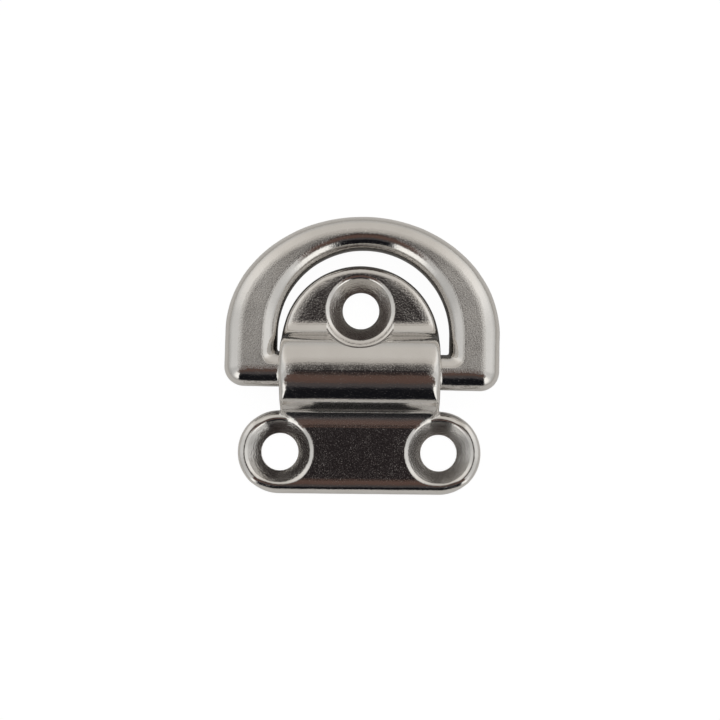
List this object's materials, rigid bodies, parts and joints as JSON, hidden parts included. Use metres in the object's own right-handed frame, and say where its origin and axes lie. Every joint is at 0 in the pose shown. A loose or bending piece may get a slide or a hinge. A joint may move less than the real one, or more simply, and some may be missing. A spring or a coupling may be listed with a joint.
{
  "type": "folding pad eye",
  "caption": "Deck pad eye with a D-shaped ring that lies flat over its base and swings up; its cast base has countersunk screw holes and a hump over the ring's bar.",
  "frame": {"origin": "on the underside, midway between the two lower screw holes", "axes": "+Z away from the deck, +X along the hinge, +Y towards the third screw hole and the folded ring's crown"},
  "size_m": [0.0483, 0.0489, 0.0101],
  "materials": {
    "base_steel": "polished stainless casting",
    "ring_steel": "polished stainless casting, satin on the flats"
  },
  "bodies": {
    "base": {"pad_base": "base_steel"},
    "ring": {"d_ring": "ring_steel"}
  },
  "joints": [
    {"name": "ring_hinge", "type": "hinge", "parent": "base", "child": "ring", "pos_m": [0, 0.01425, 0.0034], "axis": [1, 0, 0], "range_deg": [0, 160]}
  ]
}
